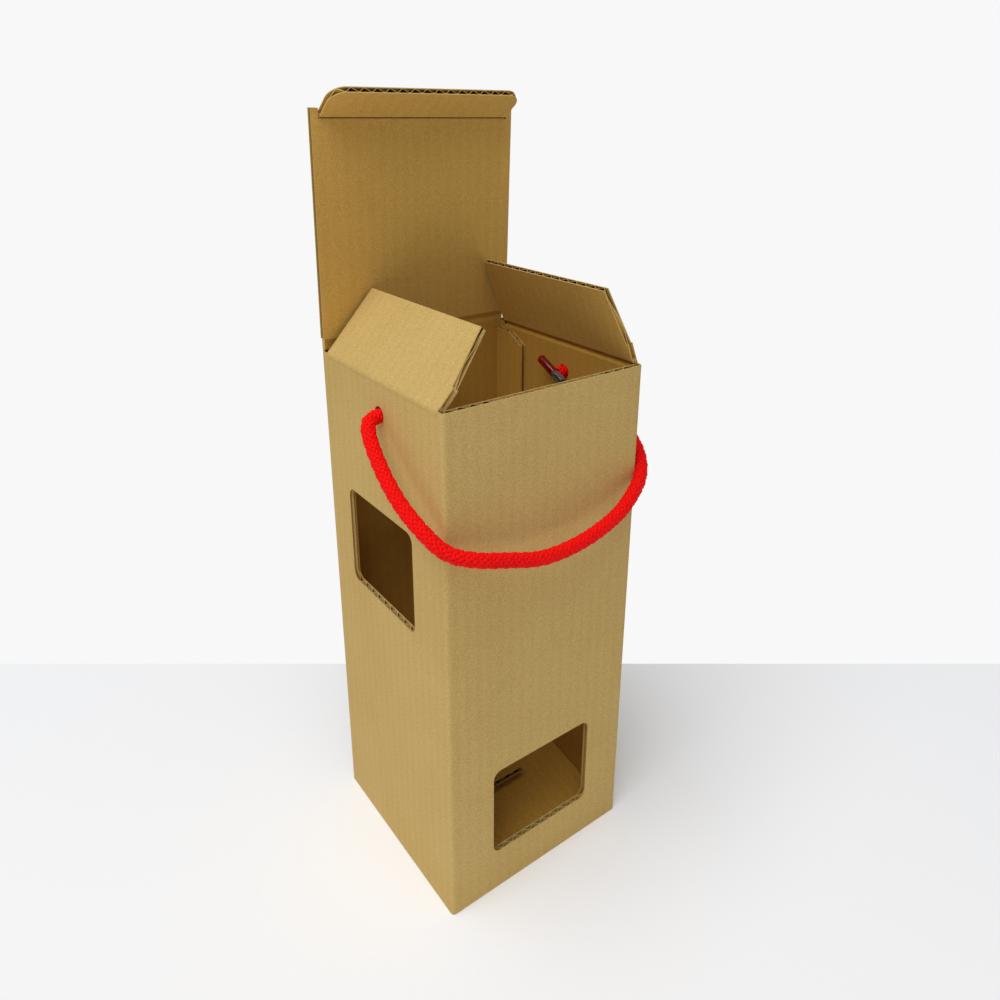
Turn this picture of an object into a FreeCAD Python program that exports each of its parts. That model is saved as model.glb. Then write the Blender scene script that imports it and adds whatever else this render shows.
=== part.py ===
import FreeCAD, Part
import math
import os

import Sketcher

# Bottle shipping box: one sheet of fluted board cut, creased and folded into a tall square tube
# with a snap-lock bottom, two windows, two dust flaps and a lid with a tuck flap.
# A rope handle hangs in front of it from a hole in each side wall and ends in a bar inside.
# Millimetres, +Z up, the origin in the middle of the base, the front wall facing -Y.
# The board folds along scored creases: each crease turns on the line of the outer face,
# and the inner half of the board is crushed away as a groove.

Vector = FreeCAD.Vector

# Driving sizes

SIZES = {
    "width": (106.0, "outside, left to right"),
    "depth": (105.0, "outside, front to back"),
    "wall_height": (256.0, "base to the raw top edge of the front wall"),
    "board": (3.0, "thickness of the fluted board"),
    "corner_round": (2.0, "outer radius of the folded vertical corners"),
    "fit_gap": (0.3, "clearance between parts that close on each other"),
    "score_angle": (46.0, "slope of each side of a square crease's groove"),
    "window_width": (57.0, "both windows"),
    "window_height": (46.0, "both windows"),
    "window_round": (4.5, "corner radius of the windows"),
    "front_window_middle": (0.5, "to the right of the front wall's middle"),
    "front_window_sill": (24.3, "base to the front window's lower edge"),
    "side_window_middle": (2.5, "behind the left wall's middle"),
    "side_window_sill": (146.5, "base to the side window's lower edge"),
    "rope_thick": (8.0, "diameter of the rope"),
    "rope_hole_gap": (0.5, "clearance round the rope in its hole"),
    "rope_hole_drop": (15.5, "top edge down to the middle of the rope holes"),
    "rope_hole_forward": (2.5, "middle of the side wall forward to the rope holes"),
    "tab_reach": (24.5, "glue tab, outer back corner to its free edge"),
    "tab_drop": (9.4, "top edge down to the tab's lower corner"),
    "tab_taper": (11.0, "tab, free edge to where its slanted end stops"),
    "tab_top_gap": (3.4, "top edge down to the tab's square end"),
    "lid_shoulder": (2.5, "lid past its far crease, each side of the tuck flap"),
    "lid_angle": (2.0, "degrees that the open lid leans forward"),
    "tuck_length": (18.6, "crease to tip, on the outer face"),
    "tuck_inset": (3.9, "tuck flap's side in from the box's side"),
    "tuck_slot": (0.5, "gap between tuck flap and lid shoulder"),
    "tuck_round": (7.3, "corner radius at the tuck flap's tip"),
    "tuck_score_angle": (53.0, "slope of each side of the tuck crease's groove"),
    "tuck_angle": (52.7, "degrees that the tuck flap is folded from the lid"),
    "dust_length": (37.3, "crease to tip, on the outer face"),
    "dust_back_gap": (6.0, "relief from the back corner to the flap"),
    "dust_front_inset": (10.0, "front of the box to the flap's front corner at its tip"),
    "dust_shoulder_inset": (2.0, "front of the box to the flap's shoulder"),
    "dust_shoulder_up": (11.0, "crease to the shoulder"),
    "dust_notch": (1.2, "step in the edge at the shoulder"),
    "left_dust_angle": (42.0, "degrees that the left dust flap leans inward"),
    "right_dust_angle": (22.0, "degrees that the right dust flap leans inward"),
    "front_floor_slope": (0.20, "front bottom flap, rise for each unit of reach"),
    "back_floor_slope": (0.25, "back bottom flap, rise for each unit of reach"),
    "front_floor_reach": (72.5, "front bottom flap, from the outer front face"),
    "floor_slot_reach": (50.5, "front bottom flap's slot, from the outer front face"),
    "back_floor_reach": (39.0, "back bottom flap's shoulders, from the outer back face"),
    "tongue_reach": (65.5, "back bottom flap's tongue, from the outer back face"),
    "tongue_width": (44.0, "tongue that locks over the front bottom flap"),
    "tongue_round": (6.0, "corner radius of the tongue"),
    "tongue_gap": (1.0, "clearance of tongue and bottom flaps at their sides"),
    "side_floor_reach": (33.0, "side bottom flaps, from the outer side face"),
    "side_floor_inset": (17.0, "front or back of the box to the side bottom flap"),
    "side_floor_taper": (19.0, "narrowing of the side bottom flap at each end"),
    "rope_hole_out": (5.0, "wall to the rope's first bend"),
    "rope_side_gap": (11.0, "side wall to the middle of the hanging rope"),
    "rope_front_gap": (14.8, "front wall to the middle of the hanging rope"),
    "rope_sag": (53.9, "rope holes down to the rope's lowest point"),
    "bar_length": (19.5, "plastic bar on the rope's end"),
    "bar_width": (4.0, "bar, across"),
    "bar_thick": (3.4, "bar, out from the wall"),
    "bar_round": (1.2, "radius of the bar's long edges"),
    "bar_stand": (4.0, "wall to the bar, taken up by the rope's end"),
    "bar_shift": (3.0, "middle of the bar behind the middle of the rope"),
    "bar_slope": (25.0, "degrees that the bar's back end is raised"),
}

doc = FreeCAD.newDocument("bottle_shipping_box")
sheet = doc.addObject("Spreadsheet::Sheet", "Size")
for row, (alias, (value, meaning)) in enumerate(SIZES.items(), start=1):
    sheet.set("A%d" % row, alias)
    sheet.set("B%d" % row, str(value))
    sheet.set("C%d" % row, meaning)
    sheet.setAlias("B%d" % row, alias)
doc.recompute()

# Lengths that follow from the driving sizes

HALF_WIDTH = "Size.width / 2"
HALF_DEPTH = "Size.depth / 2"
INNER_HALF_WIDTH = "(Size.width / 2 - Size.board)"
INNER_HALF_DEPTH = "(Size.depth / 2 - Size.board)"
SCORE = "(Size.board * tan(Size.score_angle * 1 deg))"
TUCK_SCORE = "(Size.board * tan(Size.tuck_score_angle * 1 deg))"
LID_CREASE_HEIGHT = "(Size.wall_height + Size.board + Size.fit_gap)"
LID_LENGTH = "(Size.depth - Size.board - Size.fit_gap)"
TUCK_HALF_WIDTH = "(Size.width / 2 - Size.tuck_inset)"
ROPE_HOLE_HEIGHT = "(Size.wall_height - Size.rope_hole_drop)"
FLAP_BACK = "(Size.depth / 2 - Size.dust_back_gap)"
FLAP_FRONT = "(Size.depth / 2 - Size.board - Size.fit_gap)"


def number(text):
    """The plain number that an expression on the sheet's sizes gives."""
    result = sheet.evalExpression(text)
    return float(getattr(result, "Value", result))


# Helpers for bodies, sketches and features

def new_body(label):
    body = doc.addObject("PartDesign::Body", label)
    body.Label = label
    return body


def origin_plane(body, role):
    return next(item for item in body.Origin.OriginFeatures if item.Role == role)


def new_sketch(body, name, plane, offset=None):
    """An empty sketch on one of the body's own planes, moved along the plane's normal."""
    sketch = body.newObject("Sketcher::SketchObject", name)
    sketch.AttachmentSupport = (origin_plane(body, plane), [""])
    sketch.MapMode = "FlatFace"
    if offset:
        sketch.setExpression(".AttachmentOffset.Base.z", offset)
    return sketch


def tie(sketch, kind, geometry, point, text):
    """Holds a point of the sketch at a distance from the sketch's origin."""
    index = sketch.addConstraint(Sketcher.Constraint(kind, -1, 1, geometry, point, number(text)))
    sketch.setExpression("Constraints[%d]" % index, text)


def outline(body, name, plane, corners, offset=None):
    """A closed outline of straight sides. Each corner is a pair of expressions."""
    sketch = new_sketch(body, name, plane, offset)
    places = [Vector(number(across), number(up), 0) for across, up in corners]
    count = len(places)
    for k in range(count):
        sketch.addGeometry(Part.LineSegment(places[k], places[(k + 1) % count]))
    for k in range(count):
        sketch.addConstraint(Sketcher.Constraint("Coincident", k, 2, (k + 1) % count, 1))
    for k, (across, up) in enumerate(corners):
        tie(sketch, "DistanceX", k, 1, across)
        tie(sketch, "DistanceY", k, 1, up)
    return sketch


def rectangle(body, name, plane, left, right, low, high, offset=None):
    return outline(body, name, plane, [(left, low), (right, low), (right, high), (left, high)], offset)


def circle(body, name, plane, across, up, radius):
    sketch = new_sketch(body, name, plane)
    middle = Vector(number(across), number(up), 0)
    sketch.addGeometry(Part.Circle(middle, Vector(0, 0, 1), number(radius)))
    tie(sketch, "DistanceX", 0, 3, across)
    tie(sketch, "DistanceY", 0, 3, up)
    index = sketch.addConstraint(Sketcher.Constraint("Radius", 0, number(radius)))
    sketch.setExpression("Constraints[%d]" % index, radius)
    return sketch


def pad(body, sketch, length, both_ways=False, backward=False):
    feature = body.newObject("PartDesign::Pad", sketch.Name + "_pad")
    feature.Profile = sketch
    feature.setExpression("Length", length)
    feature.Midplane = both_ways
    feature.Reversed = backward
    doc.recompute()
    return feature


def pocket(body, sketch, length=None, both_ways=False, backward=False):
    """Cuts the sketch away, and stops if nothing was cut."""
    before = body.Shape.Volume
    feature = body.newObject("PartDesign::Pocket", sketch.Name + "_cut")
    feature.Profile = sketch
    if length:
        feature.setExpression("Length", length)
    else:
        feature.Type = "ThroughAll"
    feature.Midplane = both_ways
    feature.Reversed = backward
    doc.recompute()
    if body.Shape.Volume > before - 0.01:
        raise RuntimeError(sketch.Name + " cuts nothing")
    return feature


def round_edges(body, name, base, radius, wanted):
    """Rounds each edge of the base feature for whose middle and direction wanted is true."""
    names = []
    for k, edge in enumerate(base.Shape.Edges, start=1):
        if edge.Curve.TypeId != "Part::GeomLine":
            continue
        ends = [vertex.Point for vertex in edge.Vertexes]
        if wanted((ends[0] + ends[1]) * 0.5, (ends[1] - ends[0]).normalize()):
            names.append("Edge%d" % k)
    if not names:
        raise RuntimeError(name + " finds no edge")
    feature = body.newObject("PartDesign::Fillet", name)
    feature.Base = (base, names)
    feature.setExpression("Radius", radius)
    doc.recompute()
    return feature


def near(a, b):
    return abs(a - b) < 1e-4


# Box body: four walls, glue tab and the locked bottom, one folded sheet

body = new_body("box_body")

walls = pad(
    body,
    rectangle(body, "walls", "XY_Plane", "-" + HALF_WIDTH, HALF_WIDTH, "-" + HALF_DEPTH, HALF_DEPTH),
    "Size.wall_height",
)
round_edges(body, "folded_corners", walls, "Size.corner_round", lambda middle, way: near(abs(way.z), 1))
pocket(
    body,
    rectangle(
        body, "inside", "XY_Plane",
        "-" + INNER_HALF_WIDTH, INNER_HALF_WIDTH, "-" + INNER_HALF_DEPTH, INNER_HALF_DEPTH,
    ),
    both_ways=True,
)

# The back wall stands a board's thickness higher, up to the lid's crease, and is scored inside

pad(
    body,
    outline(
        body, "back_rise", "YZ_Plane",
        [
            (INNER_HALF_DEPTH, "Size.wall_height - Size.board"),
            (HALF_DEPTH, "Size.wall_height - Size.board"),
            (HALF_DEPTH, LID_CREASE_HEIGHT),
            (INNER_HALF_DEPTH, LID_CREASE_HEIGHT + " - " + SCORE),
        ],
    ),
    "Size.width - 2 * Size.corner_round",
    both_ways=True,
)

# Scored top edges of the side walls, where the dust flaps fold


def score_side_wall(side, sign):
    pocket(
        body,
        outline(
            body, side + "_score", "XZ_Plane",
            [
                ("%s * %s" % (sign, HALF_WIDTH), "Size.wall_height"),
                ("%s * (%s - Size.fit_gap)" % (sign, INNER_HALF_WIDTH), "Size.wall_height"),
                (
                    "%s * (%s - Size.fit_gap)" % (sign, INNER_HALF_WIDTH),
                    "Size.wall_height - %s * (1 + Size.fit_gap / Size.board)" % SCORE,
                ),
            ],
            offset="-" + FLAP_BACK,
        ),
        FLAP_BACK + " + " + FLAP_FRONT,
        backward=True,
    )


score_side_wall("left", -1)
score_side_wall("right", 1)

# Windows


def window(name, plane, middle, sill, outer_face, backward):
    """A rounded window through the wall whose outer face lies at outer_face along the plane's normal."""
    half = "Size.window_width / 2"
    cut = pocket(
        body,
        rectangle(
            body, name, plane,
            "%s - %s" % (middle, half), "%s + %s" % (middle, half), sill, sill + " + Size.window_height",
            offset=outer_face,
        ),
        "Size.board",
        backward=backward,
    )
    centre = number(middle)
    low = number(sill)
    half_wide = number(half)
    high = low + number("Size.window_height")

    def corner(point, way):
        across = point.x if plane == "XZ_Plane" else point.y
        through = way.y if plane == "XZ_Plane" else way.x
        on_side = near(abs(across - centre), half_wide)
        return on_side and near(abs(through), 1) and (near(point.z, low) or near(point.z, high))

    round_edges(body, name + "_corners", cut, "Size.window_round", corner)


window("front_window", "XZ_Plane", "Size.front_window_middle", "Size.front_window_sill", HALF_DEPTH, False)
window("side_window", "YZ_Plane", "Size.side_window_middle", "Size.side_window_sill", "-" + HALF_WIDTH, True)

# Rope holes, one through each side wall

pocket(
    body,
    circle(
        body, "rope_holes", "YZ_Plane",
        "-Size.rope_hole_forward", ROPE_HOLE_HEIGHT, "Size.rope_thick / 2 + Size.rope_hole_gap",
    ),
    both_ways=True,
)

# Glue tab, folded from the back wall and glued inside the right wall

TAB_EDGE = "(Size.depth / 2 - Size.tab_reach)"
pad(
    body,
    outline(
        body, "glue_tab", "YZ_Plane",
        [
            (INNER_HALF_DEPTH, "Size.tab_top_gap"),
            (TAB_EDGE + " + Size.tab_taper", "Size.tab_top_gap"),
            (TAB_EDGE, "Size.tab_drop"),
            (TAB_EDGE, "Size.wall_height - Size.tab_drop"),
            (TAB_EDGE + " + Size.tab_taper", "Size.wall_height - Size.tab_top_gap"),
            (INNER_HALF_DEPTH, "Size.wall_height - Size.tab_top_gap"),
        ],
        offset=INNER_HALF_WIDTH + " - Size.board",
    ),
    "Size.board",
)

# Bottom flaps: they rise from their creases to the middle, where the back flap's tongue locks over
# the front flap


def floor_flap(name, sign, rise, reach, wide):
    """A bottom flap of the front (-1) or back (1) wall, rising evenly to its free edge."""
    return pad(
        body,
        outline(
            body, name, "YZ_Plane",
            [
                ("%s * %s" % (sign, HALF_DEPTH), "0"),
                ("%s * (%s - %s)" % (sign, HALF_DEPTH, reach), "%s * %s" % (rise, reach)),
                ("%s * (%s - %s)" % (sign, HALF_DEPTH, reach), "%s * %s + Size.board" % (rise, reach)),
                ("%s * %s" % (sign, HALF_DEPTH), "Size.board"),
            ],
        ),
        wide,
        both_ways=True,
    )


FLOOR_WIDTH = "Size.width - 2 * Size.board - Size.tongue_gap"
floor_flap("front_floor", -1, "Size.front_floor_slope", "Size.front_floor_reach", FLOOR_WIDTH)
pocket(
    body,
    rectangle(
        body, "floor_slot", "XY_Plane",
        "-(Size.tongue_width / 2 + Size.tongue_gap)", "Size.tongue_width / 2 + Size.tongue_gap",
        "Size.floor_slot_reach - " + HALF_DEPTH, "Size.front_floor_reach + Size.board - " + HALF_DEPTH,
    ),
    "Size.wall_height / 2",
    backward=True,
)
floor_flap("back_floor", 1, "Size.back_floor_slope", "Size.back_floor_reach", FLOOR_WIDTH)
tongue = floor_flap("tongue", 1, "Size.back_floor_slope", "Size.tongue_reach", "Size.tongue_width")
tongue_tip = number(HALF_DEPTH + " - Size.tongue_reach")
tongue_side = number("Size.tongue_width / 2")
round_edges(
    body, "tongue_corners", tongue, "Size.tongue_round",
    lambda middle, way: near(middle.y, tongue_tip) and near(abs(middle.x), tongue_side) and near(abs(way.z), 1),
)


def side_floor_flap(side, sign):
    """A bottom flap of a side wall, narrowing inward under the front and back flaps."""
    wall = "%s * %s" % (sign, HALF_WIDTH)
    tip = "%s * (%s - Size.side_floor_reach)" % (sign, HALF_WIDTH)
    end = "(%s - Size.side_floor_inset)" % HALF_DEPTH
    pad(
        body,
        outline(
            body, side + "_floor", "XY_Plane",
            [
                (wall, "-" + end),
                (tip, "-(%s - Size.side_floor_taper)" % end),
                (tip, "%s - Size.side_floor_taper" % end),
                (wall, end),
            ],
        ),
        "Size.board",
    )


side_floor_flap("left", -1)
side_floor_flap("right", 1)

# Lid: drawn upright with its crease on the origin's X axis, then leaned forward

lid = new_body("lid")
pad(
    lid,
    outline(
        lid, "lid_panel", "YZ_Plane",
        [
            ("0", "0"),
            ("0", LID_LENGTH + " + Size.lid_shoulder"),
            ("-Size.board", LID_LENGTH + " + Size.lid_shoulder"),
            ("-Size.board", SCORE),
        ],
    ),
    "Size.width",
    both_ways=True,
)
pocket(
    lid,
    outline(
        lid, "tuck_gap", "YZ_Plane",
        [
            ("0", LID_LENGTH),
            ("Size.board", LID_LENGTH),
            ("Size.board", LID_LENGTH + " + 2 * Size.lid_shoulder"),
            ("-2 * Size.board", LID_LENGTH + " + 2 * Size.lid_shoulder"),
            ("-2 * Size.board", LID_LENGTH + " - 2 * " + TUCK_SCORE),
        ],
    ),
    "2 * (%s + Size.tuck_slot)" % TUCK_HALF_WIDTH,
    both_ways=True,
)
lid.setExpression(".Placement.Base.y", HALF_DEPTH)
lid.setExpression(".Placement.Base.z", LID_CREASE_HEIGHT)
lid.Placement.Rotation = FreeCAD.Rotation(Vector(1, 0, 0), 1)
lid.setExpression(".Placement.Rotation.Angle", "Size.lid_angle * 1 deg")

# Tuck flap: drawn the same way, folded forward from the lid's far crease

tuck = new_body("tuck_flap")
tuck_panel = pad(
    tuck,
    outline(
        tuck, "tuck_panel", "YZ_Plane",
        [
            ("0", "0"),
            ("0", "Size.tuck_length"),
            ("-Size.board", "Size.tuck_length"),
            ("-Size.board", TUCK_SCORE),
        ],
    ),
    "2 * " + TUCK_HALF_WIDTH,
    both_ways=True,
)
tuck_tip = number("Size.tuck_length")
round_edges(
    tuck, "tuck_corners", tuck_panel, "Size.tuck_round",
    lambda middle, way: near(middle.z, tuck_tip) and near(abs(way.y), 1),
)
tuck.setExpression(".Placement.Base.y", "%s - %s * sin(Size.lid_angle * 1 deg)" % (HALF_DEPTH, LID_LENGTH))
tuck.setExpression(
    ".Placement.Base.z", "%s + %s * cos(Size.lid_angle * 1 deg)" % (LID_CREASE_HEIGHT, LID_LENGTH)
)
tuck.Placement.Rotation = FreeCAD.Rotation(Vector(1, 0, 0), 1)
tuck.setExpression(".Placement.Rotation.Angle", "(Size.lid_angle + Size.tuck_angle) * 1 deg")

# Dust flaps: drawn upright on the outer face of their wall, then leaned inward


def dust_flap(label, sign, lean):
    """sign is -1 for the left wall and 1 for the right wall."""
    flap = new_body(label)
    inward = "%s * " % -sign
    pad(
        flap,
        outline(
            flap, label + "_panel", "XZ_Plane",
            [
                ("0", "0"),
                ("0", "Size.dust_length"),
                (inward + "Size.board", "Size.dust_length"),
                (inward + "Size.board", SCORE),
            ],
            offset="-" + FLAP_BACK,
        ),
        FLAP_BACK + " + " + FLAP_FRONT,
    )
    front = "-%s" % HALF_DEPTH
    pocket(
        flap,
        outline(
            flap, label + "_taper", "YZ_Plane",
            [
                (front + " - Size.board", "Size.dust_shoulder_up"),
                (
                    front + " + Size.dust_shoulder_inset + Size.board",
                    "Size.dust_shoulder_up",
                ),
                (
                    front + " + Size.dust_shoulder_inset + Size.board + Size.dust_notch",
                    "Size.dust_shoulder_up + Size.dust_notch",
                ),
                (front + " + Size.dust_front_inset", "Size.dust_length"),
                (front + " + Size.dust_front_inset", "Size.dust_length + Size.board"),
                (front + " - Size.board", "Size.dust_length + Size.board"),
            ],
        ),
        both_ways=True,
    )
    flap.setExpression(".Placement.Base.x", "%s * %s" % (sign, HALF_WIDTH))
    flap.setExpression(".Placement.Base.z", "Size.wall_height")
    flap.Placement.Rotation = FreeCAD.Rotation(Vector(0, -sign, 0), 1)
    flap.setExpression(".Placement.Rotation.Angle", "Size.%s * 1 deg" % lean)
    return flap


left_dust_flap = dust_flap("left_dust_flap", -1, "left_dust_angle")
right_dust_flap = dust_flap("right_dust_flap", 1, "right_dust_angle")

# Rope handle: straight runs joined by arcs, from the left bar out through its hole, forward round
# the corner, across the front in a sag, and back to the right bar

# One half of the hanging rope, from its hole to its lowest point. Each point is given across, forward
# and down, as shares of half the span, of the reach to the front and of the sag.
ROPE_HANG = [
    (1.000, 0.040, 0.083),
    (1.000, 0.170, 0.213),
    (1.000, 0.355, 0.353),
    (0.995, 0.548, 0.482),
    (0.966, 0.733, 0.597),
    (0.883, 0.895, 0.714),
    (0.719, 0.985, 0.833),
    (0.516, 1.000, 0.926),
    (0.258, 1.000, 0.983),
    (0.000, 1.000, 1.000),
]


def rope_route():
    """The corners of the rope's route, from the left bar to the right bar."""
    y = -number("Size.rope_hole_forward")
    z = number(ROPE_HOLE_HEIGHT)
    span = number(HALF_WIDTH + " + Size.rope_side_gap")
    reach = number(HALF_DEPTH + " + Size.rope_front_gap - Size.rope_hole_forward")
    sag = number("Size.rope_sag")
    inside = number(INNER_HALF_WIDTH + " - Size.bar_stand")
    outside = number(HALF_WIDTH + " + Size.rope_hole_out")
    half = [Vector(inside, y, z), Vector(outside, y, z)]
    half += [Vector(across * span, y - forward * reach, z - down * sag) for across, forward, down in ROPE_HANG]
    mirrored = [Vector(-point.x, point.y, point.z) for point in half]
    return mirrored + half[-2::-1]


def rounded_path(points, share=0.45):
    """Straight runs joined by tangent arcs, each as large as its two runs allow. Returns wire and radii."""
    edges = []
    radii = []
    start = points[0]
    for before, corner, after in zip(points, points[1:], points[2:]):
        back = before - corner
        ahead = after - corner
        cut = share * min(back.Length, ahead.Length)
        half_turn = (math.pi - back.getAngle(ahead)) / 2
        radius = cut / math.tan(half_turn)
        back.normalize()
        ahead.normalize()
        first = corner + back * cut
        last = corner + ahead * cut
        inward = (back + ahead).normalize()
        middle = corner + inward * (radius / math.cos(half_turn) - radius)
        edges.append(Part.LineSegment(start, first).toShape())
        edges.append(Part.Arc(first, middle, last).toShape())
        radii.append(radius)
        start = last
    edges.append(Part.LineSegment(start, points[-1]).toShape())
    return Part.Wire(edges), radii


def rope_solid():
    points = rope_route()
    path, radii = rounded_path(points)
    radius = number("Size.rope_thick / 2")
    along = points[1] - points[0]
    section = Part.Wire([Part.Circle(points[0], along, radius).toShape()])
    tube = path.makePipeShell([section], True, False)
    expected = math.pi * radius ** 2 * path.Length
    print("rope length %.1f, radii %s" % (path.Length, ", ".join("%.1f" % r for r in radii)))
    if abs(tube.Volume - expected) > 0.01 * expected:
        raise RuntimeError("the rope's volume %.0f is not %.0f" % (tube.Volume, expected))
    return tube


rope = doc.addObject("Part::Feature", "rope_handle")
rope.Label = "rope_handle"
rope.Shape = rope_solid()
rope.Placement = FreeCAD.Placement()

# Plastic bars that hold the rope's ends inside the side walls


def rope_bar(label, sign):
    """A bar across the rope's end, lying against it, its back end raised."""
    bar = new_body(label)
    block = pad(
        bar,
        rectangle(
            bar, label + "_block", "YZ_Plane",
            "Size.bar_shift - Size.bar_length / 2", "Size.bar_shift + Size.bar_length / 2",
            "-Size.bar_width / 2", "Size.bar_width / 2",
        ),
        "Size.bar_thick",
        backward=sign > 0,
    )
    round_edges(bar, label + "_edges", block, "Size.bar_round", lambda middle, way: near(abs(way.y), 1))
    bar.setExpression(".Placement.Base.x", "%s * (%s - Size.bar_stand)" % (sign, INNER_HALF_WIDTH))
    bar.setExpression(".Placement.Base.y", "-Size.rope_hole_forward")
    bar.setExpression(".Placement.Base.z", ROPE_HOLE_HEIGHT)
    bar.Placement.Rotation = FreeCAD.Rotation(Vector(1, 0, 0), 1)
    bar.setExpression(".Placement.Rotation.Angle", "Size.bar_slope * 1 deg")
    return bar


left_rope_bar = rope_bar("left_rope_bar", -1)
right_rope_bar = rope_bar("right_rope_bar", 1)

# Check every object, then write each sub-part

doc.recompute()
for item in doc.Objects:
    if "Invalid" in item.State or "Error" in item.State:
        raise RuntimeError("%s failed: %s" % (item.Label, item.State))

PARTS = [body, lid, tuck, left_dust_flap, right_dust_flap, rope, left_rope_bar, right_rope_bar]
for part in PARTS:
    if part.Shape.isNull() or not part.Shape.isValid() or len(part.Shape.Solids) != 1:
        raise RuntimeError("%s is not one valid solid" % part.Label)

os.makedirs("parts", exist_ok=True)
for part in PARTS:
    part.Shape.exportStep("parts/%s.step" % part.Label)
    box = part.Shape.BoundBox
    print(
        "%-16s %8.0f mm3  x %.1f %.1f  y %.1f %.1f  z %.1f %.1f"
        % (part.Label, part.Shape.Volume, box.XMin, box.XMax, box.YMin, box.YMax, box.ZMin, box.ZMax)
    )
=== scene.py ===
"""Bottle shipping box of fluted kraft board with an open lid, two windows and a braided rope handle.

The folded board is built as two paper liners with a wavy paper between them, so every cut edge shows
its flutes. Sizes are millimetres until a piece is settled in the model's frame, which is in metres.
"""
from __future__ import annotations

import logging
import math
from collections.abc import Callable, Iterable, Sequence
from dataclasses import dataclass, field
from enum import Enum

import bpy
from mathutils import Matrix, Vector
from mathutils.kdtree import KDTree


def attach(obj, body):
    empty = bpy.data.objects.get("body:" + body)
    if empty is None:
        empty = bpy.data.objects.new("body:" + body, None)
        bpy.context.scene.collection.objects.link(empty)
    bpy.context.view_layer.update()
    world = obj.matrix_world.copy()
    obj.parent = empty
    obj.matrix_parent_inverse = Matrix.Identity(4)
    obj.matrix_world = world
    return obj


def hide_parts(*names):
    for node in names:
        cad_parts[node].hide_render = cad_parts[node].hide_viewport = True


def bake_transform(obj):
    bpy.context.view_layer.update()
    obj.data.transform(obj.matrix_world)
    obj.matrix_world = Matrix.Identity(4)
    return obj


LOG = logging.getLogger("bottle_box")
MM = 0.001
UP = Vector((0.0, 0.0, 1.0))
ROPE_HOLE = (-2.5, 240.5)  # middle of both rope holes: Y and height
OUT, IN = 5.0, 8.0  # how far a cutter reaches past the board's outer face and into it

Triple = tuple[float, float, float]

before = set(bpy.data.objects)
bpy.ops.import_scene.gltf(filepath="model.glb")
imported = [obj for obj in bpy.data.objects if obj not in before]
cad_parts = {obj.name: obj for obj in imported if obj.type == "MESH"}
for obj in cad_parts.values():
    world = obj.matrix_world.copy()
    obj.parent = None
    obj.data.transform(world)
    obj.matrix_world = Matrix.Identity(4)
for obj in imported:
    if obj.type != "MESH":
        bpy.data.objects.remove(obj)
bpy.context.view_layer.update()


# Shader expressions


class Wire:
    """A shader socket that takes part in Python arithmetic."""

    def __init__(self, sheet: NodeSheet, socket: bpy.types.NodeSocket) -> None:
        """Wraps an output socket of a sheet's node."""
        self.sheet = sheet
        self.socket = socket

    def _math(self, operation: str, *values: Wire | float) -> Wire:
        """The result of a new Math node."""
        return self.sheet.node("ShaderNodeMath", {"operation": operation}, dict(enumerate(values)))

    def __add__(self, other: Wire | float) -> Wire:
        """Sum."""
        return self._math("ADD", self, other)

    __radd__ = __add__

    def __sub__(self, other: Wire | float) -> Wire:
        """Difference."""
        return self._math("SUBTRACT", self, other)

    def __rsub__(self, other: float) -> Wire:
        """Difference from a number."""
        return self._math("SUBTRACT", other, self)

    def __mul__(self, other: Wire | float) -> Wire:
        """Product."""
        return self._math("MULTIPLY", self, other)

    __rmul__ = __mul__

    def greater(self, other: Wire) -> Wire:
        """The larger of two values."""
        return self._math("MAXIMUM", self, other)

    def wave(self) -> Wire:
        """Sine of the value."""
        return self._math("SINE", self)

    def step(self, low: float, high: float) -> Wire:
        """A smooth step from 0 at low to 1 at high."""
        inputs = {"Value": self, "From Min": low, "From Max": high}
        return self.sheet.node("ShaderNodeMapRange", {"interpolation_type": "SMOOTHSTEP"}, inputs)


class NodeSheet:
    """A node tree that gets all its nodes from one method."""

    def __init__(self, tree: bpy.types.NodeTree) -> None:
        """Takes the tree of a material or a world."""
        self.tree = tree

    def node(
        self, kind: str, settings: dict[str, object], inputs: dict[str | int, object], output: str | int = 0,
    ) -> Wire:
        """Adds a node.

        Args:
            kind: the node's type.
            settings: its settings, which are set first.
            inputs: values or wires of its sockets.
            output: the socket that is wanted.

        Returns:
            The wanted output.
        """
        made = self.tree.nodes.new(kind)
        for key, value in settings.items():
            setattr(made, key, value)
        for key, value in inputs.items():
            if isinstance(value, Wire):
                self.tree.links.new(value.socket, made.inputs[key])
            else:
                made.inputs[key].default_value = value
        return Wire(self, made.outputs[output])


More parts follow.
